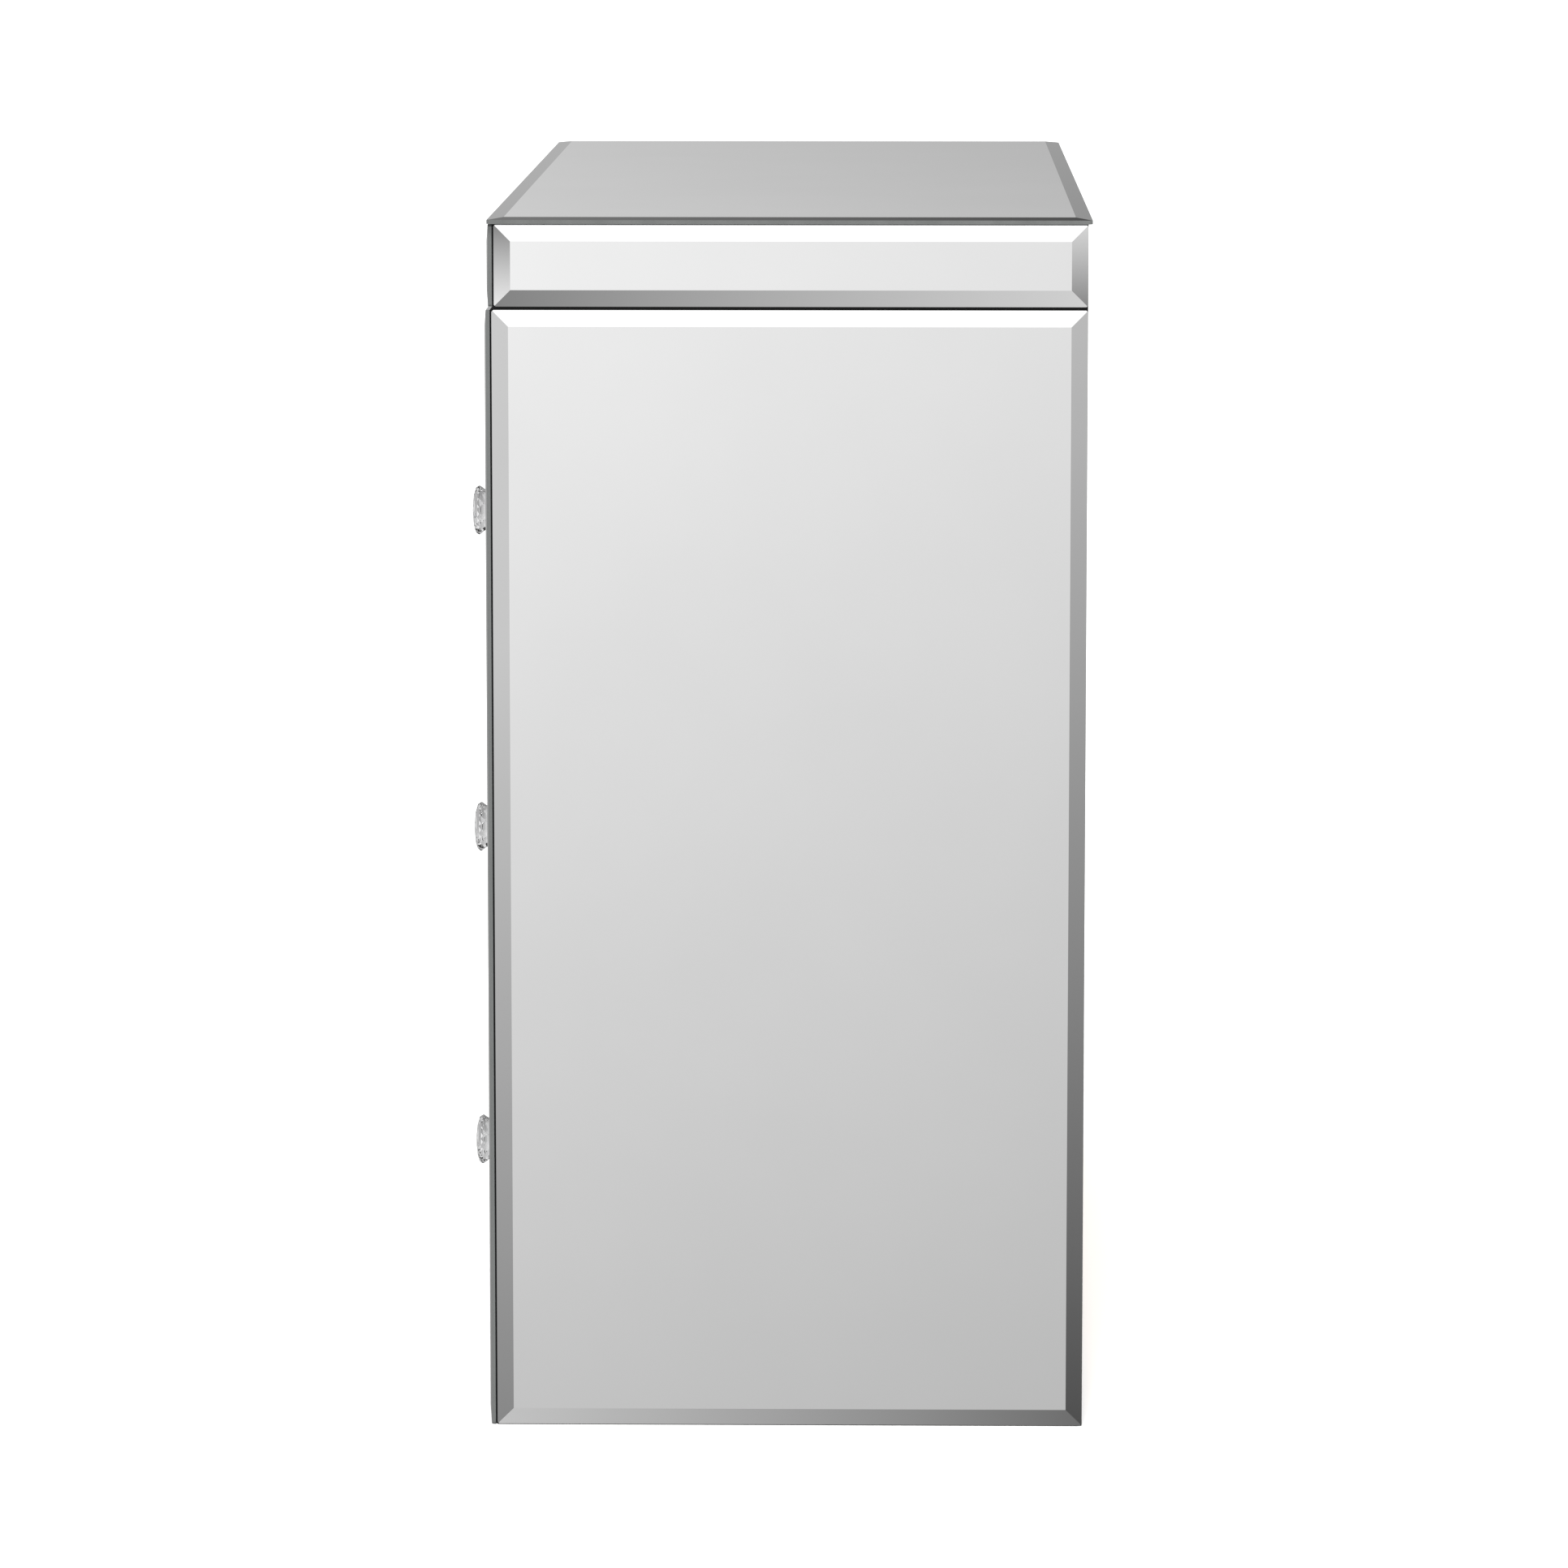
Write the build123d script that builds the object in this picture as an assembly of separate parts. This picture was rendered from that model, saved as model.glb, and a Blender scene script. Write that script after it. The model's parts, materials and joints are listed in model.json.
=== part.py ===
"""Mirrored three-drawer cabinet with a flat base and hidden rear wall-fixing rails.

Axes: +X is the right-hand side seen from the front, -Y is the front, +Z is up.
The origin is the centre of the base, on the surface that the cabinet stands on.
"""
from build123d import *
import os

# Driving dimensions, in millimetres.
TOP_WIDTH = 1000.0
TOP_DEPTH = 392.8
HEIGHT = 800.0
TOP_SIDE_OVERHANG = 3.2
TOP_FRONT_OVERHANG = 1.6
TOP_BACK_OVERHANG = 2.6
BOARD = 18.0
DRAWER_COUNT = 3
DRAWER_REAR_SPACE = 24.0

# Bevelled mirror plates.
GLASS = 4.0
BEVEL_WIDTH = 10.8
BEVEL_DROP = 1.4
GLASS_CORNER = 1.2
TOP_GLASS_CORNER = 2.0
GLASS_FLOOR_GAP = 0.6
EDGE_REVEAL = 1.2
PLATE_JOINT = 2.2
FRIEZE_GLASS_BOTTOM = 742.2
FRIEZE_SET_BACK = 1.6

# The carcass boards, worked out from the top and its overhangs.
CARCASS_HALF_WIDTH = TOP_WIDTH / 2 - TOP_SIDE_OVERHANG - GLASS
CARCASS_DEPTH = TOP_DEPTH - TOP_FRONT_OVERHANG - TOP_BACK_OVERHANG
FRONT_PLANE = -CARCASS_DEPTH / 2
BACK_PLANE = CARCASS_DEPTH / 2
INNER_HALF_WIDTH = CARCASS_HALF_WIDTH - BOARD
FRAME_BACK = FRONT_PLANE + BOARD
TOP_GLASS_BASE = HEIGHT - GLASS
TOP_BOARD_BASE = TOP_GLASS_BASE - BOARD

# The mirrored frame around the drawers.
OPENING_HALF_WIDTH = 450.0
OPENING_BOTTOM = 42.0
OPENING_TOP = 698.3
STRIP_JOINT = 1.0
RAIL_DEPTH = 60.0
RAIL_HEIGHT = 22.0

# The back: a thin panel in grooves, and two rails behind it that take the wall screws.
BACK_PANEL = 3.0
BACK_GROOVE = 6.0
BACK_PANEL_FACE = BACK_PLANE - BOARD
FIXING_RAIL_HEIGHT = 80.0
WALL_HOLE_RADIUS = 2.75
WALL_HOLE_HALF_SPACING = 400.0

# Drawers.
FRONT_GAP = 2.5
DRAWER_FRONT = 15.0
DRAWER_SIDE = 12.0
DRAWER_BOTTOM = 4.0
DRAWER_BOX_HEIGHT = 150.0
DRAWER_BOX_RISE = 14.0
DRAWER_GROOVE_RISE = 8.0
DRAWER_GROOVE_DEPTH = 5.0
DRAWER_BACK_PLANE = BACK_PANEL_FACE - BACK_PANEL - DRAWER_REAR_SPACE
FRONT_HEIGHT = (OPENING_TOP - OPENING_BOTTOM - (DRAWER_COUNT + 1) * FRONT_GAP) / DRAWER_COUNT
DRAWER_PITCH = FRONT_HEIGHT + FRONT_GAP
FRONT_HALF_WIDTH = OPENING_HALF_WIDTH - FRONT_GAP

# Ball-bearing slides: each has a fixed, a middle and a drawer member.
SLIDE_LENGTH = 300.0
SLIDE_SPACE = 12.7
SLIDE_SHEET = 1.2
SLIDE_SETBACK = 3.0
SLIDE_RISE = 60.0
OUTER_MEMBER = {"near": 0.0, "far": 10.6, "half_height": 22.7, "web": 0.0}
MIDDLE_MEMBER = {"near": 3.4, "far": 11.4, "half_height": 19.4, "web": 3.4}
INNER_MEMBER = {"near": 5.8, "far": 12.7, "half_height": 16.0, "web": 11.5}
PACKER_LENGTH = 340.0
PACKER_HEIGHT = 60.0

# Crystal knobs, as distances out from the drawer's mirror and radii there.
KNOB_HALF_SPACING = 285.0
KNOB_FACETS = 16
CRYSTAL_SECTIONS = ((5.5, 8.6), (12.0, 14.8), (15.2, 16.8), (16.4, 16.8), (18.6, 14.6), (20.0, 6.0))
BASE_FLANGE_RADIUS = 11.0
BASE_FLANGE = 2.0
BASE_NECK_RADIUS = 6.5
BASE_CUP_RADIUS = 9.4
BASE_CUP = 1.8
BOLT_RADIUS = 2.0
BOLT_HEAD_RADIUS = 4.2
BOLT_HEAD = 2.4
BOLT_BORE_CLEARANCE = 0.05
BOLT_HOLE_RADIUS = 2.6

# Fasteners and bumpers.
CARCASS_SCREW_LENGTH = 50.0
CARCASS_SCREW_RADIUS = 3.0
CARCASS_SCREW_HEAD_RADIUS = 4.8
SLIDE_SCREW_LENGTH = 16.0
SLIDE_SCREW_RADIUS = 1.75
SLIDE_SCREW_HEAD_RADIUS = 3.2
SLIDE_SCREW_INSET = 35.0
BUMPER_RADIUS = 3.5
BUMPER_THICKNESS = 2.6
BUMPER_HALF_SPACING = 400.0
BUMPER_DROP = 5.0

PART_FOLDER = "parts"


def block(low, high):
    """A box between two opposite corners."""
    size = [b - a for a, b in zip(low, high)]
    middle = [(a + b) / 2 for a, b in zip(low, high)]
    return Pos(*middle) * Box(*size)


def both_sides(shape):
    """The right-hand shape and its mirror image on the left."""
    return Compound([shape, mirror(shape, about=Plane.YZ)])


def bevelled_glass(width, height, corner=GLASS_CORNER):
    """A mirror plate lying on z = 0, centred on the origin, with its bevelled face up and its corners clipped."""
    edge = GLASS - BEVEL_DROP
    blank = Pos(0, 0, edge / 2) * Box(width, height, edge)
    outline = Pos(0, 0, edge) * Rectangle(width, height)
    flat = Pos(0, 0, GLASS) * Rectangle(width - 2 * BEVEL_WIDTH, height - 2 * BEVEL_WIDTH)
    plate = blank + loft([outline, flat], ruled=True)
    clipped = chamfer(Rectangle(width, height).vertices(), corner)
    return plate & extrude(clipped, GLASS)


def glass_on_front(left, right, bottom, top, set_back=0.0):
    """A bevelled plate facing -Y, glued to the front plane or set back from it."""
    plate = bevelled_glass(right - left, top - bottom)
    return Pos((left + right) / 2, FRONT_PLANE + set_back, (bottom + top) / 2) * Rot(90, 0, 0) * plate


def glass_on_right(front, back, bottom, top):
    """A bevelled plate glued to the right-hand side board, facing +X."""
    plate = bevelled_glass(back - front, top - bottom)
    place = Pos(CARCASS_HALF_WIDTH, (front + back) / 2, (bottom + top) / 2)
    return place * Rot(0, 0, 90) * Rot(90, 0, 0) * plate


def countersunk_screw(length, radius, head_radius, clearance=0.0):
    """A screw along -Z whose flat head is at z = 0, or with clearance the hole that it needs."""
    head_height = head_radius - radius
    shank = Pos(0, 0, -length / 2) * Cylinder(radius + clearance, length)
    cone = Cone(radius + clearance, head_radius + clearance, head_height)
    return shank + Pos(0, 0, -head_height / 2) * cone


def wall_hole_heights():
    """The heights of the lower and upper rows of wall-screw holes."""
    half = FIXING_RAIL_HEIGHT / 2
    return (BOARD + half, TOP_BOARD_BASE - half)


def wall_holes():
    """The four clearance holes through the back panel and the fixing rails."""
    drill = Rot(90, 0, 0) * Cylinder(WALL_HOLE_RADIUS, 4 * BOARD)
    places = [
        Pos(x, BACK_PLANE, z)
        for x in (-WALL_HOLE_HALF_SPACING, WALL_HOLE_HALF_SPACING)
        for z in wall_hole_heights()
    ]
    return [place * drill for place in places]


def drawer_gap_heights():
    """The heights of the gaps above each drawer front, which the drawer rails back."""
    first = OPENING_BOTTOM + FRONT_GAP / 2
    return [first + (number + 1) * DRAWER_PITCH for number in range(DRAWER_COUNT)]


def carcass_screw_places():
    """Depth and height of every screw through a side board."""
    board_depths = (-120.0, 20.0, 150.0)
    heights = (BOARD / 2, TOP_BOARD_BASE + BOARD / 2)
    places = [(y, z) for y in board_depths for z in heights]
    rail_middle = BACK_PLANE - BOARD / 2
    for z in wall_hole_heights():
        places += [(rail_middle, z - BOARD), (rail_middle, z + BOARD)]
    places += [(FRAME_BACK + RAIL_DEPTH / 2, z) for z in drawer_gap_heights()]
    return places


def carcass_screws(clearance=0.0):
    """The screws through both side boards into the ends of the boards and rails."""
    screw = countersunk_screw(
        CARCASS_SCREW_LENGTH, CARCASS_SCREW_RADIUS, CARCASS_SCREW_HEAD_RADIUS, clearance
    )
    right = [Pos(CARCASS_HALF_WIDTH, y, z) * Rot(0, 90, 0) * screw for y, z in carcass_screw_places()]
    left = [mirror(one, about=Plane.YZ) for one in right]
    return right + left


def back_groove():
    """The space that the back panel's edges take from the boards around it."""
    reach = INNER_HALF_WIDTH + BACK_GROOVE
    low = (-reach, BACK_PANEL_FACE - BACK_PANEL, BOARD - BACK_GROOVE)
    high = (reach, BACK_PANEL_FACE, TOP_BOARD_BASE + BACK_GROOVE)
    return block(low, high)


def side_board():
    """The right-hand side board, grooved for the back panel."""
    low = (INNER_HALF_WIDTH, FRAME_BACK, 0)
    high = (CARCASS_HALF_WIDTH, BACK_PLANE, TOP_GLASS_BASE)
    return block(low, high) - back_groove() - carcass_screws(BOLT_BORE_CLEARANCE)


def level_board(bottom):
    """The top or bottom board, between the side boards."""
    low = (-INNER_HALF_WIDTH, FRAME_BACK, bottom)
    high = (INNER_HALF_WIDTH, BACK_PLANE, bottom + BOARD)
    return block(low, high) - back_groove() - carcass_screws(BOLT_BORE_CLEARANCE)


def fixing_rail(bottom):
    """A rail behind the back panel, drilled for the wall screws."""
    low = (-INNER_HALF_WIDTH, BACK_PANEL_FACE, bottom)
    high = (INNER_HALF_WIDTH, BACK_PLANE, bottom + FIXING_RAIL_HEIGHT)
    return block(low, high) - wall_holes() - carcass_screws(BOLT_BORE_CLEARANCE)


def drawer_rails():
    """The rails behind the gaps above the drawer fronts."""
    rails = []
    for middle in drawer_gap_heights():
        low = (-INNER_HALF_WIDTH, FRAME_BACK, middle - RAIL_HEIGHT / 2)
        high = (INNER_HALF_WIDTH, FRAME_BACK + RAIL_DEPTH, middle + RAIL_HEIGHT / 2)
        rails.append(block(low, high) - carcass_screws(BOLT_BORE_CLEARANCE))
    return Compound(rails)


def front_frame():
    """The boards that carry the mirror strips around the drawers."""
    reach = CARCASS_HALF_WIDTH
    opening = OPENING_HALF_WIDTH
    rebate_low = (-reach, FRONT_PLANE, FRIEZE_GLASS_BOTTOM - PLATE_JOINT)
    rebate_high = (reach, FRONT_PLANE + FRIEZE_SET_BACK, TOP_GLASS_BASE)
    header = block((-reach, FRONT_PLANE, OPENING_TOP), (reach, FRAME_BACK, TOP_GLASS_BASE))
    header = header - block(rebate_low, rebate_high)
    stile = block((opening, FRONT_PLANE, 0), (reach, FRAME_BACK, OPENING_TOP))
    sill = block((-opening, FRONT_PLANE, 0), (opening, FRAME_BACK, OPENING_BOTTOM))
    return {
        "front_header_board": header,
        "stile_board_right": stile,
        "stile_board_left": mirror(stile, about=Plane.YZ),
        "bottom_rail_board": sill,
    }


def carcass():
    """Every board of the cabinet's body."""
    side = side_board()
    nodes = {
        "side_board_right": side,
        "side_board_left": mirror(side, about=Plane.YZ),
        "top_board": level_board(TOP_BOARD_BASE),
        "bottom_board": level_board(0),
        "back_panel": back_groove() - wall_holes(),
        "upper_fixing_rail": fixing_rail(TOP_BOARD_BASE - FIXING_RAIL_HEIGHT),
        "lower_fixing_rail": fixing_rail(BOARD),
        "drawer_rails": drawer_rails(),
        "carcass_screws": Compound(carcass_screws()),
    }
    nodes.update(front_frame())
    return nodes


def mirror_plates():
    """The bevelled mirror plates that cover the body."""
    plate_top = FRIEZE_GLASS_BOTTOM - PLATE_JOINT
    frieze_top = TOP_GLASS_BASE - GLASS_FLOOR_GAP
    side_front = FRONT_PLANE + EDGE_REVEAL
    frieze_front = side_front + FRIEZE_SET_BACK
    front_reach = CARCASS_HALF_WIDTH + GLASS - EDGE_REVEAL
    top_middle = (TOP_BACK_OVERHANG - TOP_FRONT_OVERHANG) / 2
    strip_reach = OPENING_HALF_WIDTH - STRIP_JOINT
    side = glass_on_right(side_front, BACK_PLANE, GLASS_FLOOR_GAP, plate_top)
    frieze = glass_on_right(frieze_front, BACK_PLANE, FRIEZE_GLASS_BOTTOM, frieze_top)
    stile = glass_on_front(OPENING_HALF_WIDTH, front_reach, GLASS_FLOOR_GAP, plate_top)
    top = Pos(0, top_middle, TOP_GLASS_BASE) * bevelled_glass(TOP_WIDTH, TOP_DEPTH, TOP_GLASS_CORNER)
    return {
        "top_glass": top,
        "side_glass_right": side,
        "side_glass_left": mirror(side, about=Plane.YZ),
        "frieze_glass_right": frieze,
        "frieze_glass_left": mirror(frieze, about=Plane.YZ),
        "frieze_glass_front": glass_on_front(
            -front_reach, front_reach, FRIEZE_GLASS_BOTTOM, frieze_top, FRIEZE_SET_BACK
        ),
        "stile_glass_right": stile,
        "stile_glass_left": mirror(stile, about=Plane.YZ),
        "upper_rail_glass": glass_on_front(-strip_reach, strip_reach, OPENING_TOP, plate_top),
        "bottom_rail_glass": glass_on_front(
            -strip_reach, strip_reach, GLASS_FLOOR_GAP, OPENING_BOTTOM - GLASS_FLOOR_GAP
        ),
    }


def slide_member(shape, height):
    """One C-shaped slide member on the right, its web square to X, at a height."""
    start = FRAME_BACK + SLIDE_SETBACK
    reach = shape["half_height"]

    def strip(near, far, bottom, top):
        low = (OPENING_HALF_WIDTH - far, start, height + bottom)
        high = (OPENING_HALF_WIDTH - near, start + SLIDE_LENGTH, height + top)
        return block(low, high)

    web = strip(shape["web"], shape["web"] + SLIDE_SHEET, -reach, reach)
    upper = strip(shape["near"], shape["far"], reach - SLIDE_SHEET, reach)
    lower = strip(shape["near"], shape["far"], -reach, SLIDE_SHEET - reach)
    return web + upper + lower


def front_bottom(number):
    """The height of the lower edge of a drawer's front, counted from 0 at the bottom."""
    return OPENING_BOTTOM + FRONT_GAP + number * DRAWER_PITCH


def slide_heights():
    """The height of each drawer's slides."""
    return [front_bottom(number) + SLIDE_RISE for number in range(DRAWER_COUNT)]


def slide_screws(height, clearance=0.0):
    """The two screws that hold a right-hand fixed slide member to its packer."""
    screw = countersunk_screw(
        SLIDE_SCREW_LENGTH, SLIDE_SCREW_RADIUS, SLIDE_SCREW_HEAD_RADIUS, clearance
    )
    start = FRAME_BACK + SLIDE_SETBACK
    depths = (start + SLIDE_SCREW_INSET, start + SLIDE_LENGTH - SLIDE_SCREW_INSET)
    face = OPENING_HALF_WIDTH - SLIDE_SHEET
    return [Pos(face, y, height) * Rot(0, -90, 0) * screw for y in depths]


def cabinet_slides():
    """The fixed slide members, the packers behind them and their screws."""
    members = []
    packers = []
    screws = []
    for height in slide_heights():
        holes = slide_screws(height, BOLT_BORE_CLEARANCE)
        members.append(slide_member(OUTER_MEMBER, height) - holes)
        low = (OPENING_HALF_WIDTH, FRAME_BACK, height - PACKER_HEIGHT / 2)
        high = (INNER_HALF_WIDTH, FRAME_BACK + PACKER_LENGTH, height + PACKER_HEIGHT / 2)
        packers.append(block(low, high) - holes)
        screws += slide_screws(height)
    return {
        "slide_fixed_members": both_sides(Compound(members)),
        "slide_packers": both_sides(Compound(packers)),
        "slide_screws": both_sides(Compound(screws)),
    }


def drawer_bumpers():
    """Soft pads on the drawer rails that each closed front comes up to."""
    pad = Rot(90, 0, 0) * Cylinder(BUMPER_RADIUS, BUMPER_THICKNESS)
    depth = FRAME_BACK - BUMPER_THICKNESS / 2
    drop = FRONT_GAP / 2 + BUMPER_DROP
    pads = [Pos(BUMPER_HALF_SPACING, depth, gap - drop) * pad for gap in drawer_gap_heights()]
    return both_sides(Compound(pads))


def on_knobs(make, height):
    """A piece made at each of a drawer's two knob places, its local +Z pointing out of the front."""
    face = FRONT_PLANE - GLASS
    shapes = []
    for x in (-KNOB_HALF_SPACING, KNOB_HALF_SPACING):
        shapes.append(Pos(x, face, height) * Rot(90, 0, 0) * make())
    return Compound(shapes)


def crystal():
    """A facet-cut crystal: a back cone, a girdle and a shallow crown."""
    sections = [
        Pos(0, 0, out) * RegularPolygon(radius, KNOB_FACETS) for out, radius in CRYSTAL_SECTIONS
    ]
    return loft(sections, ruled=True)


def knob_base():
    """The turned base: a flange on the mirror, a neck and the cup under the crystal."""
    seat = CRYSTAL_SECTIONS[0][0]
    flange = Pos(0, 0, BASE_FLANGE / 2) * Cylinder(BASE_FLANGE_RADIUS, BASE_FLANGE)
    neck = Pos(0, 0, seat / 2) * Cylinder(BASE_NECK_RADIUS, seat)
    cup = Pos(0, 0, seat - BASE_CUP / 2) * Cylinder(BASE_CUP_RADIUS, BASE_CUP)
    bore = Pos(0, 0, (seat - BASE_CUP) / 2) * Cylinder(BOLT_RADIUS + BOLT_BORE_CLEARANCE, seat - BASE_CUP)
    return flange + neck + cup - bore


def knob_bolt():
    """The bolt from inside the drawer through its front and mirror into the knob's base."""
    tip = CRYSTAL_SECTIONS[0][0] - BASE_CUP - BASE_FLANGE / 4
    head_face = -(GLASS + DRAWER_FRONT)
    shank = Pos(0, 0, (tip + head_face) / 2) * Cylinder(BOLT_RADIUS, tip - head_face)
    head = Pos(0, 0, head_face - BOLT_HEAD / 2) * Cylinder(BOLT_HEAD_RADIUS, BOLT_HEAD)
    return shank + head


def bolt_holes(height):
    """The holes for the knob bolts through a drawer's front board and mirror."""
    reach = 2 * (GLASS + DRAWER_FRONT)
    return on_knobs(lambda: Cylinder(BOLT_HOLE_RADIUS, 2 * reach), height)


def drawer_box(bottom):
    """A drawer's sides, back and bottom panel, its sides resting at a height."""
    outer = OPENING_HALF_WIDTH - SLIDE_SPACE
    inner = outer - DRAWER_SIDE
    front = FRONT_PLANE + DRAWER_FRONT
    back = DRAWER_BACK_PLANE
    top = bottom + DRAWER_BOX_HEIGHT
    panel_bottom = bottom + DRAWER_GROOVE_RISE
    panel_top = panel_bottom + DRAWER_BOTTOM
    reach = inner + DRAWER_GROOVE_DEPTH
    panel = block((-reach, front, panel_bottom), (reach, back, panel_top))
    side = block((inner, front, bottom), (outer, back, top)) - panel
    rear = block((-inner, back - DRAWER_SIDE, panel_top), (inner, back, top))
    return {
        "side_right": side,
        "side_left": mirror(side, about=Plane.YZ),
        "back_board": rear,
        "bottom_panel": panel,
    }


def drawer(number):
    """Every piece of one drawer, with its knobs and moving slide members."""
    low = front_bottom(number)
    high = low + FRONT_HEIGHT
    middle = (low + high) / 2
    reach = FRONT_HALF_WIDTH
    front_back = FRONT_PLANE + DRAWER_FRONT
    holes = bolt_holes(middle)
    height = slide_heights()[number]
    nodes = {
        "front_board": block((-reach, FRONT_PLANE, low), (reach, front_back, high)) - holes,
        "front_glass": glass_on_front(-reach, reach, low, high) - holes,
        "crystals": on_knobs(crystal, middle),
        "knob_bases": on_knobs(knob_base, middle),
        "knob_bolts": on_knobs(knob_bolt, middle),
        "slide_middle_members": both_sides(slide_member(MIDDLE_MEMBER, height)),
        "slide_drawer_members": both_sides(slide_member(INNER_MEMBER, height)),
    }
    nodes.update(drawer_box(low + DRAWER_BOX_RISE))
    return {f"drawer_{number + 1}_{name}": shape for name, shape in nodes.items()}


def cabinet():
    """Every node of the cabinet, by name."""
    nodes = carcass()
    nodes.update(mirror_plates())
    nodes.update(cabinet_slides())
    nodes["drawer_bumpers"] = drawer_bumpers()
    for number in range(DRAWER_COUNT):
        nodes.update(drawer(number))
    return nodes


os.makedirs(PART_FOLDER, exist_ok=True)
for node_name, node_shape in cabinet().items():
    export_step(node_shape, os.path.join(PART_FOLDER, f"{node_name}.step"))
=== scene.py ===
"""The mirrored three-drawer cabinet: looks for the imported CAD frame. Metres, +Z up, -Y is the front."""
import json
import math

import bmesh
import bpy
from mathutils import Matrix, Vector

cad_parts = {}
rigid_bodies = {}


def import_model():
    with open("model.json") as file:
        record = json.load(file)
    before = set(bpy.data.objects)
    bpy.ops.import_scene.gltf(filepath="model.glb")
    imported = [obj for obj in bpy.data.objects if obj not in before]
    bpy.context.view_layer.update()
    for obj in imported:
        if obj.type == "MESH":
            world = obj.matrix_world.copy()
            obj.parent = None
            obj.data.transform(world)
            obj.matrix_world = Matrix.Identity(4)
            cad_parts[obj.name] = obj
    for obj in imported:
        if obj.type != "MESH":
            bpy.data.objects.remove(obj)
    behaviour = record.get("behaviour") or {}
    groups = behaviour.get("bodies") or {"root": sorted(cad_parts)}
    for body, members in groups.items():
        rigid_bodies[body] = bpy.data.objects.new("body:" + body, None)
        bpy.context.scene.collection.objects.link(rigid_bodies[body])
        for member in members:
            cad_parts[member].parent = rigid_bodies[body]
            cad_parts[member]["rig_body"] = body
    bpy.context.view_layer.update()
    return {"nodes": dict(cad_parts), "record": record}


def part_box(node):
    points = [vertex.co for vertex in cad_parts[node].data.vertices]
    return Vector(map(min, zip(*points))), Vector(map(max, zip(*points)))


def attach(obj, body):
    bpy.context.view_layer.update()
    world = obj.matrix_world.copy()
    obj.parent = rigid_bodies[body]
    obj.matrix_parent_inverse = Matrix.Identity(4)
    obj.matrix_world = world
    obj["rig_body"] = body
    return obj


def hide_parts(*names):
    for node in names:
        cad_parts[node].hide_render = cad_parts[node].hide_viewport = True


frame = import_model()
nodes = frame["nodes"]
MM = 0.001
DRAWERS = (1, 2, 3)

# Mirror plates, as in the CAD source.
GLASS = 4.0 * MM
BEVEL_WIDTH = 10.8 * MM
BEVEL_DROP = 1.4 * MM
EDGE_HEIGHT = GLASS - BEVEL_DROP
GLASS_CORNER = 1.2 * MM
TOP_GLASS_CORNER = 2.0 * MM

# A plate's ground lines are this wide, and run where its front faces meet at more than this angle.
ARRIS = 0.5 * MM
ARRIS_ANGLE = math.radians(4)

# For each way a plate faces: its outward normal, then right and up as seen from outside.
FACINGS = {
    "right": (Vector((1, 0, 0)), Vector((0, 1, 0)), Vector((0, 0, 1))),
    "left": (Vector((-1, 0, 0)), Vector((0, -1, 0)), Vector((0, 0, 1))),
    "front": (Vector((0, -1, 0)), Vector((1, 0, 0)), Vector((0, 0, 1))),
    "up": (Vector((0, 0, 1)), Vector((0, 1, 0)), Vector((-1, 0, 0))),
}

# A plate's material slots, in order.
SLOTS = ("flat", "left", "right", "top", "bottom", "arris", "edge", "back")

# The cut crystal's rows of corners, from its table back to its foot: radius and height in mm, how many
# corners, and the share of a step that the row is turned by.
CRYSTAL_ROWS = (
    (5.6, 20.0, 8, 0.0),
    (11.4, 19.3, 8, 0.5),
    (15.4, 18.0, 16, 0.0),
    (16.8, 16.2, 16, 0.5),
    (16.8, 15.2, 16, 0.5),
    (14.9, 12.0, 8, 0.5),
    (8.6, 5.65, 8, 0.0),
)

# The knob base's turned outline, from its flange to its cup, as radius and height in mm. It is spun in steps,
# its doubled points are welded, and edges sharper than the last angle stay sharp.
BASE_PROFILE = (
    (11.0, 0.0), (11.0, 0.8), (10.6, 1.3), (9.2, 1.7), (8.0, 2.2), (6.8, 2.9),
    (6.5, 3.5), (7.2, 3.9), (9.0, 4.1), (9.4, 4.5), (9.4, 5.1), (9.0, 5.5),
)
BASE_STEPS = 48
BASE_WELD = 0.01 * MM
BASE_SMOOTH_ANGLE = math.radians(35)

# The softwood's growth rings: how many the noise is cut into, and how suddenly each one darkens.
GROWTH_RINGS = 34
RING_SHARPNESS = 3.0

# The studio's brightness from straight down, at 0, to straight up, at 1: out to the two sides, and on the
# pale screens in front and behind.
SIDE_TONES = (
    (0.0, 0.60), (0.25, 0.70), (0.36, 0.74), (0.46, 0.95), (0.56, 1.1), (0.75, 1.1), (1.0, 0.95),
)
SCREEN_TONES = ((0.0, 0.60), (0.25, 0.78), (0.45, 0.86), (0.55, 0.92), (0.75, 1.05), (1.0, 0.95))

# How bright the far left is as a share of the right, and the X of a direction where the dimming ends.
LEFT_SHARE = 0.62
LEFT_END = 0.4

# How many screens there are, how much each stands out, and the |Y| of a direction where they start and
# where they are full.
SCREENS = 6
SCREEN_RIPPLE = 0.08
SCREEN_START = 0.32
SCREEN_FULL = 0.6

# The key light, a broad sun that leans over from the right.
KEY_ENERGY = 2.6
KEY_SPREAD = math.radians(18)
KEY_LEAN = math.radians(30)

# How far the floor reaches each way.
FLOOR_REACH = 90.0

# The photograph's viewpoint: square on the right-hand side, from a little above the top.
CAMERA_PLACE = (5.1094, 0.0702, 1.0814)
CAMERA_TURN = math.radians(-0.9095)
CAMERA_PITCH = math.radians(8.0394)
CAMERA_LENS = 163.38
CAMERA_SENSOR = 36.0
CAMERA_NEAR = 0.05
CAMERA_FAR = 300.0


# ---------------------------------------------------------------- node helpers


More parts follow.
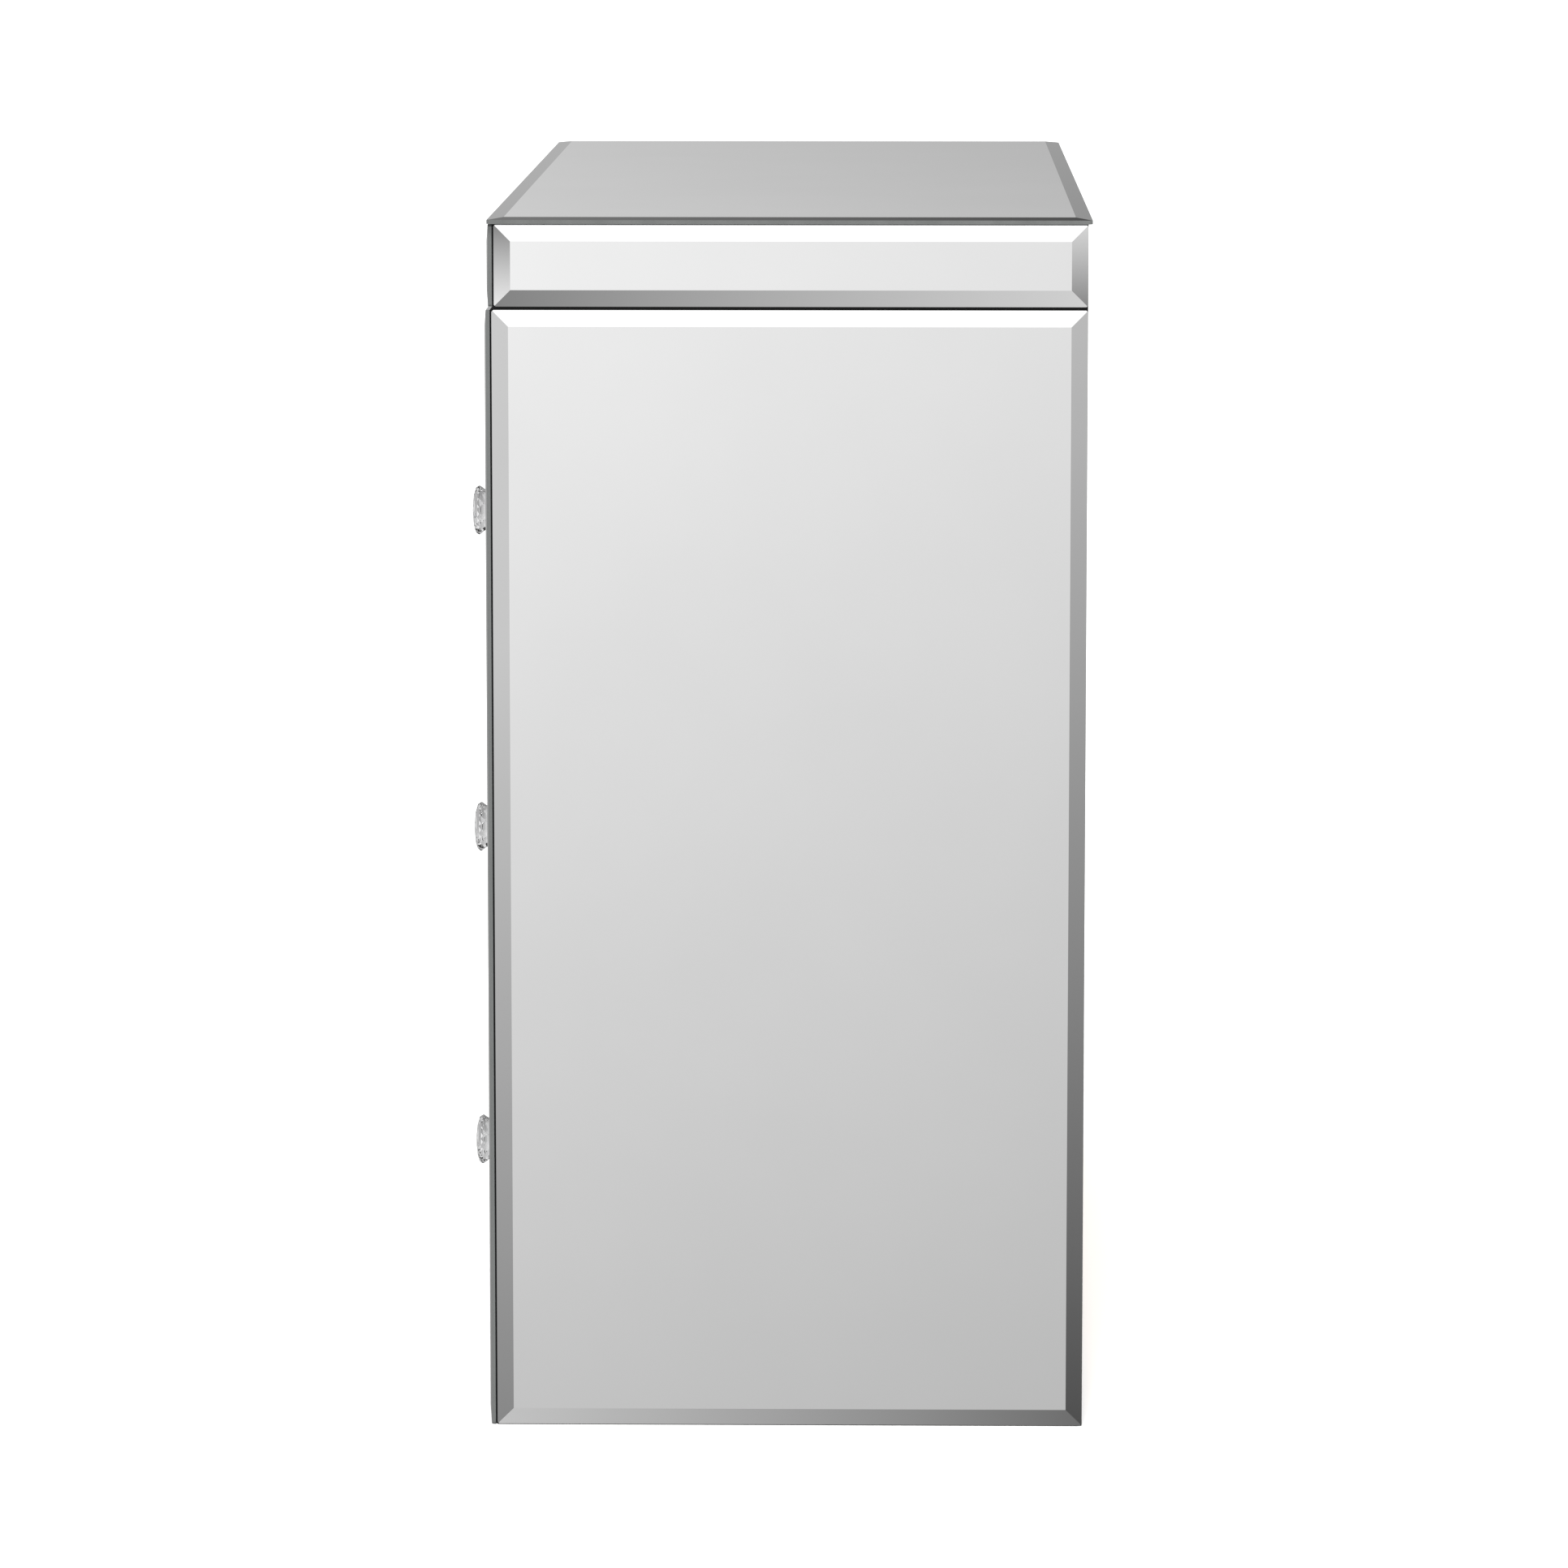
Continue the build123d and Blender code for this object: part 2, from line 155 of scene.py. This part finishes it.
def new_material(name):
    """A material with an empty tree, its Principled shader and its output."""
    material = bpy.data.materials.new(name)
    material.use_nodes = True
    tree = material.node_tree
    tree.nodes.clear()
    shader = tree.nodes.new("ShaderNodeBsdfPrincipled")
    output = tree.nodes.new("ShaderNodeOutputMaterial")
    tree.links.new(shader.outputs["BSDF"], output.inputs["Surface"])
    return material, tree, shader


def add(tree, kind, **settings):
    """A node of a kind, with its properties set."""
    node = tree.nodes.new(kind)
    for key, value in settings.items():
        setattr(node, key, value)
    return node


def object_coordinates(tree):
    """Places on the object, in metres."""
    return add(tree, "ShaderNodeTexCoord").outputs["Object"]


def scaled(tree, vector, scale):
    """A vector with each axis scaled."""
    mapping = add(tree, "ShaderNodeMapping")
    mapping.inputs["Scale"].default_value = scale
    tree.links.new(vector, mapping.inputs["Vector"])
    return mapping.outputs["Vector"]


def noise(tree, vector, scale, detail=4.0, roughness=0.55, stretch=(1, 1, 1)):
    """Noise with features about 1/scale metres across, which a stretch under 1 lengthens along its axis."""
    node = add(tree, "ShaderNodeTexNoise")
    node.inputs["Scale"].default_value = scale
    node.inputs["Detail"].default_value = detail
    node.inputs["Roughness"].default_value = roughness
    tree.links.new(scaled(tree, vector, stretch), node.inputs["Vector"])
    return node.outputs["Fac"]


def ranged(tree, value, low, high, start=0.0, end=1.0):
    """The value taken from start..end to low..high, and held there beyond the ends."""
    node = add(tree, "ShaderNodeMapRange")
    node.inputs["From Min"].default_value = start
    node.inputs["From Max"].default_value = end
    node.inputs["To Min"].default_value = low
    node.inputs["To Max"].default_value = high
    tree.links.new(value, node.inputs["Value"])
    return node.outputs["Result"]


def maths(tree, operation, *values):
    """The result of an operation on numbers or sockets."""
    node = add(tree, "ShaderNodeMath", operation=operation)
    for socket, value in zip(node.inputs, values):
        if isinstance(value, (int, float)):
            socket.default_value = value
        else:
            tree.links.new(value, socket)
    return node.outputs["Value"]


def blended(tree, first, second, share):
    """The first value giving way to the second as the share goes from 0 to 1."""
    change = maths(tree, "SUBTRACT", second, first)
    return maths(tree, "ADD", first, maths(tree, "MULTIPLY", change, share))


def coloured(tree, shader, pattern, low, high):
    """The shader's colour goes from low to high with the pattern."""
    node = add(tree, "ShaderNodeMix", data_type="RGBA")
    ends = [socket for socket in node.inputs if socket.type == "RGBA"]
    ends[0].default_value = (*low, 1)
    ends[1].default_value = (*high, 1)
    tree.links.new(pattern, node.inputs["Factor"])
    mixed = [socket for socket in node.outputs if socket.type == "RGBA"][0]
    tree.links.new(mixed, shader.inputs["Base Color"])


def roughened(tree, shader, pattern, low, high, start=0.0, end=1.0):
    """The shader's roughness goes from low to high as the pattern goes from start to end."""
    tree.links.new(ranged(tree, pattern, low, high, start, end), shader.inputs["Roughness"])


def bump(tree, shader, height, strength, distance):
    """The pattern raised on the surface."""
    node = add(tree, "ShaderNodeBump")
    node.inputs["Strength"].default_value = strength
    node.inputs["Distance"].default_value = distance
    tree.links.new(height, node.inputs["Height"])
    tree.links.new(node.outputs["Normal"], shader.inputs["Normal"])


# ---------------------------------------------------------------- materials


def silver_with_painted_reflection(name, corners, rise_over=1.0):
    """Silvered mirror glass with painted reflection: its colour is graded from corner to corner, lower left,
    lower right, upper left, upper right, and paints the studio's light and shade seen in the mirror.

    rise_over is the share of the plate's height over which the lower painted shades give way to the upper
    ones.
    """
    lower_left, lower_right, upper_left, upper_right = corners
    material, tree, shader = new_material(name)
    uv = add(tree, "ShaderNodeSeparateXYZ")
    tree.links.new(add(tree, "ShaderNodeTexCoord").outputs["UV"], uv.inputs["Vector"])
    # Painted reflection: these corner values stand for the light and shade the mirror shows, not the glass's
    # own colour; only the haze is the glass's own faint mottle.
    lower = ranged(tree, uv.outputs["X"], lower_left, lower_right)
    upper = ranged(tree, uv.outputs["X"], upper_left, upper_right)
    height = ranged(tree, uv.outputs["Y"], 0.0, 1.0, 0.0, rise_over)
    place = object_coordinates(tree)
    haze = ranged(tree, noise(tree, place, 9.0), 0.985, 1.0, 0.35, 0.65)
    tone = maths(tree, "MULTIPLY", blended(tree, lower, upper, height), haze)
    colour = add(tree, "ShaderNodeCombineColor")
    for channel in ("Red", "Green", "Blue"):
        tree.links.new(tone, colour.inputs[channel])
    # The painted reflection goes into both the base colour and the specular tint.
    for socket in ("Base Color", "Specular Tint"):
        tree.links.new(colour.outputs["Color"], shader.inputs[socket])
    roughened(tree, shader, noise(tree, place, 28.0, 6.0), 0.015, 0.045, 0.4, 0.7)
    shader.inputs["Metallic"].default_value = 1.0
    bump(tree, shader, noise(tree, place, 3.0, 1.0), 0.02, 0.002)
    return material


def arris_material():
    """The ground line along each edge of a bevel, which scatters light."""
    material, tree, shader = new_material("ground_arris")
    grain = noise(tree, object_coordinates(tree), 900.0)
    coloured(tree, shader, grain, (0.93, 0.93, 0.93), (1.0, 1.0, 1.0))
    roughened(tree, shader, grain, 0.22, 0.4)
    shader.inputs["Metallic"].default_value = 1.0
    return material


def glass_edge_material():
    """The polished edge of the glass, seen through its thickness."""
    material, tree, shader = new_material("polished_glass_edge")
    place = object_coordinates(tree)
    streak = noise(tree, place, 60.0, 5.0, stretch=(1, 1, 0.15))
    coloured(tree, shader, streak, (0.082, 0.086, 0.084), (0.142, 0.147, 0.145))
    roughened(tree, shader, streak, 0.08, 0.22)
    bump(tree, shader, noise(tree, place, 400.0, 3.0), 0.1, 0.0002)
    return material


def backing_material():
    """The paint behind the silvering."""
    material, tree, shader = new_material("mirror_backing_paint")
    mottle = noise(tree, object_coordinates(tree), 120.0)
    coloured(tree, shader, mottle, (0.10, 0.11, 0.12), (0.15, 0.16, 0.17))
    roughened(tree, shader, mottle, 0.55, 0.7)
    return material


def painted_board_material():
    """Fibreboard painted satin black, with fine fibre showing through."""
    material, tree, shader = new_material("black_painted_board")
    place = object_coordinates(tree)
    fibre = noise(tree, place, 350.0, 6.0, 0.7)
    cloud = noise(tree, place, 6.0, 3.0)
    coloured(tree, shader, cloud, (0.006, 0.006, 0.0065), (0.012, 0.012, 0.0125))
    roughened(tree, shader, fibre, 0.38, 0.55)
    shader.inputs["Specular IOR Level"].default_value = 0.2
    bump(tree, shader, fibre, 0.15, 0.0003)
    return material


def linen_foil_material():
    """Grey foil with a pressed linen weave, as on drawer boxes. Its threads run along all three axes."""
    material, tree, shader = new_material("grey_linen_foil")
    place = object_coordinates(tree)
    ways = ((0.05, 1, 1), (1, 0.05, 1), (1, 1, 0.05))
    along_x, along_y, along_z = (noise(tree, place, 1100.0, 1.0, stretch=way) for way in ways)
    threads = maths(tree, "ADD", maths(tree, "ADD", along_x, along_y), along_z)
    weave = ranged(tree, threads, 0.0, 1.0, 1.2, 1.8)
    coloured(tree, shader, weave, (0.25, 0.25, 0.26), (0.40, 0.40, 0.41))
    roughened(tree, shader, weave, 0.6, 0.42)
    bump(tree, shader, weave, 0.35, 0.0004)
    return material


def hardboard_material():
    """Brown hardboard with its pressed fibre grain."""
    material, tree, shader = new_material("brown_hardboard")
    place = object_coordinates(tree)
    fibre = noise(tree, place, 260.0, 8.0, 0.75, stretch=(1, 1, 0.5))
    cloud = noise(tree, place, 4.0, 4.0)
    tone = maths(tree, "ADD", maths(tree, "MULTIPLY", fibre, 0.7), maths(tree, "MULTIPLY", cloud, 0.3))
    tone = ranged(tree, tone, 0.0, 1.0, 0.35, 0.65)
    coloured(tree, shader, tone, (0.10, 0.066, 0.044), (0.185, 0.13, 0.09))
    roughened(tree, shader, fibre, 0.5, 0.75)
    bump(tree, shader, fibre, 0.3, 0.0004)
    return material


def softwood_material():
    """Planed pine, its grain along X."""
    material, tree, shader = new_material("planed_softwood")
    place = object_coordinates(tree)
    growth = maths(tree, "MULTIPLY", noise(tree, place, 6.0, 1.0, stretch=(0.1, 1, 1)), GROWTH_RINGS)
    rings = maths(tree, "POWER", maths(tree, "FRACT", growth), RING_SHARPNESS)
    pores = noise(tree, place, 500.0, 4.0, stretch=(0.03, 1, 1))
    wander = noise(tree, place, 3.0, 3.0, stretch=(0.5, 3, 3))
    tone = maths(tree, "ADD", maths(tree, "MULTIPLY", rings, 0.45), maths(tree, "MULTIPLY", wander, 0.35))
    tone = maths(tree, "ADD", tone, maths(tree, "MULTIPLY", pores, 0.2))
    coloured(tree, shader, tone, (0.68, 0.50, 0.33), (0.42, 0.26, 0.14))
    roughened(tree, shader, pores, 0.5, 0.65)
    bump(tree, shader, pores, 0.2, 0.0003)
    return material


def metal_material(name, dark, light, rough, stretch):
    """Plated metal with fine marks, longer along an axis whose stretch is under 1."""
    material, tree, shader = new_material(name)
    place = object_coordinates(tree)
    marks = noise(tree, place, 700.0, 4.0, stretch=stretch)
    spots = noise(tree, place, 40.0, 4.0)
    coloured(tree, shader, spots, dark, light)
    roughened(tree, shader, marks, *rough)
    shader.inputs["Metallic"].default_value = 1.0
    bump(tree, shader, marks, 0.06, 0.0002)
    return material


def rubber_material():
    """Soft black rubber with a faint grain."""
    material, tree, shader = new_material("bumper_rubber")
    grain = noise(tree, object_coordinates(tree), 800.0)
    coloured(tree, shader, grain, (0.02, 0.02, 0.02), (0.04, 0.04, 0.04))
    roughened(tree, shader, grain, 0.6, 0.8)
    bump(tree, shader, grain, 0.2, 0.0002)
    return material


def crystal_material():
    """Clear cut crystal, faintly uneven on its facets."""
    material, tree, shader = new_material("cut_crystal")
    place = object_coordinates(tree)
    shader.inputs["Base Color"].default_value = (0.84, 0.84, 0.845, 1)
    shader.inputs["Transmission Weight"].default_value = 1.0
    shader.inputs["IOR"].default_value = 1.52
    roughened(tree, shader, noise(tree, place, 200.0), 0.0, 0.03, 0.4, 0.7)
    bump(tree, shader, noise(tree, place, 90.0, 1.0), 0.03, 0.0004)
    return material


# ---------------------------------------------------------------- mirror plates


def corner_points(half_width, half_height, clip):
    """For each corner, anticlockwise from the lower right: its clip's two ends, and its mitre's two ends."""
    corners = []
    rise = BEVEL_DROP * clip / (2 * BEVEL_WIDTH)
    for sx, sy in ((1, -1), (1, 1), (-1, 1), (-1, -1)):
        upright = (sx * half_width, sy * (half_height - clip))
        level = (sx * (half_width - clip), sy * half_height)
        outer = (sx * (half_width - clip / 2), sy * (half_height - clip / 2), EDGE_HEIGHT + rise)
        inner = (sx * (half_width - BEVEL_WIDTH), sy * (half_height - BEVEL_WIDTH), GLASS)
        ends = (level, upright) if sx * sy < 0 else (upright, level)
        corners.append((ends, outer, inner))
    return corners


def plate_mesh(bm, half_width, half_height, clip):
    """A closed bevelled plate with its back on z = 0. Returns its face groups."""
    back, rim, mitre, inner = [], [], [], []
    for ends, mitre_point, inner_point in corner_points(half_width, half_height, clip):
        back.append([bm.verts.new((x, y, 0)) for x, y in ends])
        rim.append([bm.verts.new((x, y, EDGE_HEIGHT)) for x, y in ends])
        mitre.append(bm.verts.new(mitre_point))
        inner.append(bm.verts.new(inner_point))
    outline = [vert for pair in back for vert in pair]
    groups = {"back": [bm.faces.new(reversed(outline))], "flat": [bm.faces.new(inner)], "edge": []}
    for i, side in enumerate(("right", "top", "left", "bottom")):
        j = (i + 1) % 4
        groups["edge"].append(bm.faces.new((back[i][0], back[i][1], rim[i][1], mitre[i], rim[i][0])))
        groups["edge"].append(bm.faces.new((back[i][1], back[j][0], rim[j][0], rim[i][1])))
        groups[side] = [bm.faces.new((mitre[i], rim[i][1], rim[j][0], mitre[j], inner[j], inner[i]))]
    return groups


def grind_arrises(bm):
    """A narrow ground face in place of each sharp line round and across the bevels."""
    front = [e for e in bm.edges if all(v.co.z > GLASS / 2 for v in e.verts)]
    lines = [e for e in front if e.calc_face_angle() > ARRIS_ANGLE]
    bmesh.ops.bevel(
        bm, geom=lines, offset=ARRIS, offset_type="OFFSET", segments=1, affect="EDGES",
        material=SLOTS.index("arris"), clamp_overlap=True,
    )


def spread_uvs(bm, half_width, half_height):
    """UVs that run from 0 to 1 across the plate and up it, for the painted reflection of the silvering."""
    uv = bm.loops.layers.uv.new("Plate")
    for face in bm.faces:
        for loop in face.loops:
            x, y, _ = loop.vert.co
            loop[uv].uv = (x / (2 * half_width) + 0.5, y / (2 * half_height) + 0.5)


def mirror_plate(node, facing, painted_reflections, shared, clip=GLASS_CORNER):
    """A bevelled mirror plate that stands for a CAD plate, in the same box."""
    low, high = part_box(node)
    normal, across, up = FACINGS[facing]
    size = high - low
    half_width = abs(size.dot(across)) / 2
    half_height = abs(size.dot(up)) / 2
    middle = (low + high) / 2
    bm = bmesh.new()
    for name, faces in plate_mesh(bm, half_width, half_height, clip).items():
        for face in faces:
            face.material_index = SLOTS.index(name)
    grind_arrises(bm)
    spread_uvs(bm, half_width, half_height)
    turn = Matrix((across, up, normal)).transposed().to_4x4()
    bm.transform(Matrix.Translation(middle - normal * GLASS / 2) @ turn)
    mesh = bpy.data.meshes.new(node + "_plate")
    bm.to_mesh(mesh)
    bm.free()
    # The flat and bevel slots take the silvers with painted reflection.
    looks = {**painted_reflections, **shared}
    for name in SLOTS:
        mesh.materials.append(looks[name])
    plate = bpy.data.objects.new(node + "_plate", mesh)
    bpy.context.scene.collection.objects.link(plate)
    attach(plate, nodes[node]["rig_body"])
    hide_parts(node)


def even(tone):
    """The same painted reflection tone at all four corners."""
    return tone, tone, tone, tone


def upward(low, high):
    """A painted reflection tone that changes from the lower edge to the upper one."""
    return low, low, high, high


def rightward(left, right):
    """A painted reflection tone that changes from the left edge to the right one."""
    return left, right, left, right


def painted_reflection_silvers(kind, flat, left, right, top, bottom, left_rise=1.0):
    """The five silvered materials of a kind of plate, the flat and each bevel a lit or shaded copy with
    painted reflection from the values at its corners.
    """
    # Painted reflection: the flat and the four bevels are the same glass, made lighter or darker only by
    # these painted values.
    return {
        "flat": silver_with_painted_reflection(kind + "_flat_painted_reflection", flat),
        "left": silver_with_painted_reflection(kind + "_left_bevel_painted_reflection", left, left_rise),
        "right": silver_with_painted_reflection(kind + "_right_bevel_painted_reflection", right),
        "top": silver_with_painted_reflection(kind + "_top_bevel_painted_reflection", top),
        "bottom": silver_with_painted_reflection(kind + "_bottom_bevel_painted_reflection", bottom),
    }


def mirror_plates():
    """Every plate, each kind with its own painted reflection: lit and shaded values for its flat and bevels.
    """
    shared = {"arris": arris_material(), "edge": glass_edge_material(), "back": backing_material()}
    # Painted reflection: white top bevels, darker lower and right bevels and graded flats paint how the
    # studio's light falls in the mirrors.
    side = painted_reflection_silvers(
        "side", flat=(0.69, 0.62, 0.90, 0.79), left=upward(0.31, 0.63), right=upward(0.10, 0.52),
        top=even(0.98), bottom=rightward(0.77, 0.215), left_rise=0.7,
    )
    frieze = painted_reflection_silvers(
        "frieze", flat=rightward(0.92, 0.80), left=upward(0.87, 0.24), right=upward(0.25, 0.70),
        top=even(0.98), bottom=rightward(0.31, 0.87),
    )
    top = painted_reflection_silvers(
        "top", flat=(0.93, 0.74, 0.84, 0.63), left=even(0.49), right=even(0.14),
        top=even(0.8), bottom=rightward(0.44, 0.275),
    )
    front = painted_reflection_silvers(
        "front", flat=(0.80, 0.76, 0.96, 0.90), left=upward(0.55, 0.75), right=upward(0.45, 0.70),
        top=even(0.98), bottom=rightward(0.85, 0.5),
    )
    mirror_plate("top_glass", "up", top, shared, TOP_GLASS_CORNER)
    for hand in ("right", "left"):
        mirror_plate(f"side_glass_{hand}", hand, side, shared)
        mirror_plate(f"frieze_glass_{hand}", hand, frieze, shared)
        mirror_plate(f"stile_glass_{hand}", "front", front, shared)
    for node in ("frieze_glass_front", "upper_rail_glass", "bottom_rail_glass"):
        mirror_plate(node, "front", front, shared)
    for number in DRAWERS:
        mirror_plate(f"drawer_{number}_front_glass", "front", front, shared)


# ---------------------------------------------------------------- knobs


def ring(radius, height, count, turn):
    """Corners of a regular polygon around +Z, turned by a share of a step."""
    step = 2 * math.pi / count
    angles = [step * (i + turn) for i in range(count)]
    return [Vector((radius * math.cos(angle), radius * math.sin(angle), height)) for angle in angles]


def crystal_mesh(bm, place):
    """A cut crystal: table, three rows of crown facets, girdle, two rows of pavilion facets and foot."""
    points = [point for row in CRYSTAL_ROWS for point in ring(*row)]
    verts = [bm.verts.new(place @ (point * MM)) for point in points]
    bmesh.ops.convex_hull(bm, input=verts)


def base_mesh(bm, place):
    """The turned base: flange, neck and cup, its outline spun round +Z and closed at both ends."""
    outline = [bm.verts.new(Vector((radius, 0, height)) * MM) for radius, height in BASE_PROFILE]
    edges = [bm.edges.new(pair) for pair in zip(outline, outline[1:])]
    bmesh.ops.spin(
        bm, geom=outline + edges, axis=(0, 0, 1), cent=(0, 0, 0), angle=2 * math.pi, steps=BASE_STEPS,
        use_merge=True,
    )
    bmesh.ops.remove_doubles(bm, verts=bm.verts, dist=BASE_WELD)
    bmesh.ops.holes_fill(bm, edges=[e for e in bm.edges if e.is_boundary], sides=0)
    bmesh.ops.recalc_face_normals(bm, faces=bm.faces)
    bm.transform(place)


def knob_places(node):
    """Where a drawer's two knobs stand, with their local +Z pointing out of the front."""
    low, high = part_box(node)
    radius = (high.z - low.z) / 2
    out = Matrix.Rotation(math.radians(90), 4, "X")
    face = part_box(node.replace("knob_bases", "front_glass"))[0].y
    middle = (low.z + high.z) / 2
    return [Matrix.Translation((x, face, middle)) @ out for x in (low.x + radius, high.x - radius)]


def finish_piece(name, make, places, node, material, smooth_angle=None):
    """One piece made at each place, standing for a CAD node."""
    mesh = bpy.data.meshes.new(name)
    joined = bmesh.new()
    for place in places:
        single = bmesh.new()
        make(single, place)
        single.to_mesh(mesh)
        single.free()
        joined.from_mesh(mesh)
    joined.to_mesh(mesh)
    joined.free()
    if smooth_angle:
        mesh.shade_smooth()
        mesh.set_sharp_from_angle(angle=smooth_angle)
    mesh.materials.append(material)
    piece = bpy.data.objects.new(name, mesh)
    bpy.context.scene.collection.objects.link(piece)
    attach(piece, nodes[node]["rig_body"])
    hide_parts(node)


def knobs():
    """Two knobs on each drawer: turned chrome bases that hold cut crystals."""
    glass = crystal_material()
    chrome = metal_material(
        "polished_chrome", dark=(0.62, 0.63, 0.65), light=(0.72, 0.73, 0.74),
        rough=(0.04, 0.10), stretch=(1, 1, 1),
    )
    for number in DRAWERS:
        base = f"drawer_{number}_knob_bases"
        places = knob_places(base)
        finish_piece(base + "_turned", base_mesh, places, base, chrome, BASE_SMOOTH_ANGLE)
        crystals = f"drawer_{number}_crystals"
        finish_piece(crystals + "_cut", crystal_mesh, places, crystals, glass)


# ---------------------------------------------------------------- carried-over CAD nodes


def dress(node, material):
    """A CAD node takes one material in every slot."""
    slots = nodes[node].data.materials
    slots.clear()
    slots.append(material)


def cad_nodes():
    """Materials of the CAD nodes that stay."""
    looks = {
        "carcass_board": painted_board_material(),
        "drawer_board": linen_foil_material(),
        "hardboard": hardboard_material(),
        "softwood": softwood_material(),
        "zinc_steel": metal_material(
            "zinc_plate", dark=(0.36, 0.37, 0.38), light=(0.50, 0.51, 0.52),
            rough=(0.22, 0.4), stretch=(1, 0.02, 1),
        ),
        "rubber": rubber_material(),
    }
    for part in frame["record"]["subparts"]:
        if part["material_slot"] in looks:
            dress(part["node"], looks[part["material_slot"]])


# ---------------------------------------------------------------- stage, light and camera


def floor():
    """A plain pale floor, which neither the mirrors nor the crystals show."""
    mesh = bpy.data.meshes.new("floor")
    corners = [(sx * FLOOR_REACH, sy * FLOOR_REACH, 0) for sx, sy in ((-1, -1), (1, -1), (1, 1), (-1, 1))]
    mesh.from_pydata(corners, [], [(0, 1, 2, 3)])
    obj = bpy.data.objects.new("floor", mesh)
    bpy.context.scene.collection.objects.link(obj)
    material, tree, shader = new_material("pale_floor")
    cloud = noise(tree, object_coordinates(tree), 1.5)
    coloured(tree, shader, cloud, (0.965, 0.965, 0.965), (0.98, 0.98, 0.98))
    shader.inputs["Roughness"].default_value = 0.9
    mesh.materials.append(material)
    obj.visible_glossy = False
    obj.visible_transmission = False


def graded(tree, height, stops):
    """A tone that changes with height, from -1 to 1, through the stops."""
    ramp = add(tree, "ShaderNodeValToRGB")
    elements = ramp.color_ramp.elements
    while len(elements) < len(stops):
        elements.new(0.5)
    for element, (place, tone) in zip(elements, stops):
        element.position = place
        element.color = (tone, tone, tone, 1)
    tree.links.new(ranged(tree, height, 0.0, 1.0, -1.0, 1.0), ramp.inputs["Fac"])
    return ramp.outputs["Color"]


def surroundings(tree):
    """The tone in each direction: greyer low down and on the left, with screens in front and behind."""
    way = add(tree, "ShaderNodeSeparateXYZ")
    tree.links.new(add(tree, "ShaderNodeTexCoord").outputs["Generated"], way.inputs["Vector"])
    x, y, z = (way.outputs[axis] for axis in "XYZ")
    dimming = ranged(tree, x, LEFT_SHARE, 1.0, -1.0, LEFT_END)
    sides = maths(tree, "MULTIPLY", graded(tree, z, SIDE_TONES), dimming)
    turn = maths(tree, "MULTIPLY", maths(tree, "ARCTAN2", y, x), SCREENS)
    ripple = ranged(tree, maths(tree, "COSINE", turn), 1 - SCREEN_RIPPLE, 1 + SCREEN_RIPPLE, -1.0, 1.0)
    screens = maths(tree, "MULTIPLY", graded(tree, z, SCREEN_TONES), ripple)
    share = ranged(tree, maths(tree, "ABSOLUTE", y), 0.0, 1.0, SCREEN_START, SCREEN_FULL)
    return blended(tree, sides, screens, share)


def studio():
    """A soft studio, which lights the object and shows in its mirrors. The camera itself sees plain white."""
    world = bpy.data.worlds.new("studio")
    bpy.context.scene.world = world
    world.use_nodes = True
    tree = world.node_tree
    tree.nodes.clear()
    background = add(tree, "ShaderNodeBackground")
    output = add(tree, "ShaderNodeOutputWorld")
    tree.links.new(background.outputs["Background"], output.inputs["Surface"])
    seen = add(tree, "ShaderNodeLightPath").outputs["Is Camera Ray"]
    tree.links.new(blended(tree, surroundings(tree), 1.0, seen), background.inputs["Color"])
    sun = bpy.data.lights.new("soft_key", "SUN")
    sun.energy = KEY_ENERGY
    sun.angle = KEY_SPREAD
    key = bpy.data.objects.new("soft_key", sun)
    key.rotation_euler = (0, KEY_LEAN, 0)
    key.visible_glossy = False
    bpy.context.scene.collection.objects.link(key)
    bpy.context.scene.view_settings.view_transform = "Standard"


def camera():
    """The photograph's viewpoint, with no shift and everything sharp."""
    data = bpy.data.cameras.new("camera")
    data.sensor_width = CAMERA_SENSOR
    data.lens = CAMERA_LENS
    data.clip_start = CAMERA_NEAR
    data.clip_end = CAMERA_FAR
    obj = bpy.data.objects.new("camera", data)
    level = math.cos(CAMERA_PITCH)
    ahead = Vector((-math.cos(CAMERA_TURN) * level, math.sin(CAMERA_TURN) * level, -math.sin(CAMERA_PITCH)))
    obj.location = CAMERA_PLACE
    obj.rotation_euler = ahead.to_track_quat("-Z", "Y").to_euler()
    bpy.context.scene.collection.objects.link(obj)
    bpy.context.scene.camera = obj


camera()
studio()
floor()
mirror_plates()
knobs()
cad_nodes()
